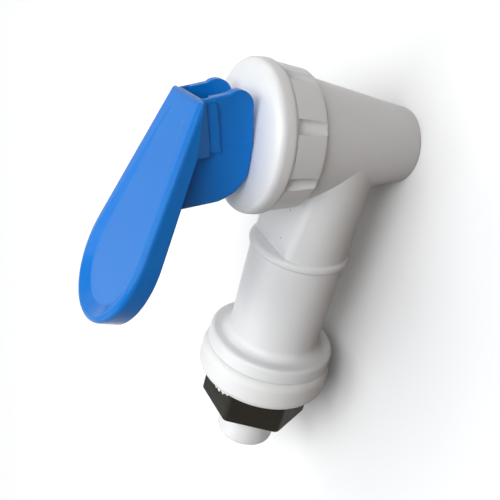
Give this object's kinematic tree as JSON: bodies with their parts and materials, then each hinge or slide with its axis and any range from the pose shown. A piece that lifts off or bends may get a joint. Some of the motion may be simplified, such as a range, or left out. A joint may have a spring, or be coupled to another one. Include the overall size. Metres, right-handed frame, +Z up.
{
  "type": "dispenser tap",
  "caption": "Moulded drink dispenser tap with a downward spout, a screwed bonnet and a swivelling thumb lever; a threaded inlet with washer and nut clamps it through a panel.",
  "frame": {"origin": "on the inlet axis, at the washer's face that meets the panel", "axes": "+Y along the inlet, into the panel; +Z up the barrel, from the spout to the lever"},
  "size_m": [0.0396, 0.1093, 0.0763],
  "materials": {
    "body_plastic": "white moulded ABS, satin gloss",
    "lever_plastic": "blue moulded ABS, gloss",
    "stem_plastic": "natural acetal, moulded",
    "silicone": "white moulded silicone rubber",
    "spring_steel": "bright drawn spring wire",
    "nut_plastic": "black moulded nylon, matt"
  },
  "bodies": {
    "tap": {"tap_body": "body_plastic", "bonnet_cap": "body_plastic", "seat_cup": "silicone", "panel_washer": "silicone", "mounting_nut": "nut_plastic"},
    "swivel": {"spring_washer": "stem_plastic", "return_spring": "spring_steel"},
    "stem": {"stem": "stem_plastic"},
    "lever": {"lever": "lever_plastic"}
  },
  "joints": [
    {"name": "lever_swivel", "type": "hinge", "parent": "tap", "child": "swivel", "pos_m": [0, -0.0699, 0.0242], "axis": [0, 0, 1], "continuous": true},
    {"name": "stem_lift", "type": "slide", "parent": "swivel", "child": "stem", "axis": [0, 0, 1], "range_m": [0, 0.00262], "stiffness_N_per_m": 20, "springref_m": -0.008, "deforming": ["return_spring", "seat_cup"]},
    {"name": "lever_rock", "type": "hinge", "parent": "stem", "child": "lever", "pos_m": [0, -0.0699, 0.0295], "axis": [-0.9833, -0.1822, 0], "range_deg": [0, 25]}
  ],
  "couplings": [
    {"joint": "lever_rock", "follows": "stem_lift", "rad_per_m": 166.67}
  ]
}
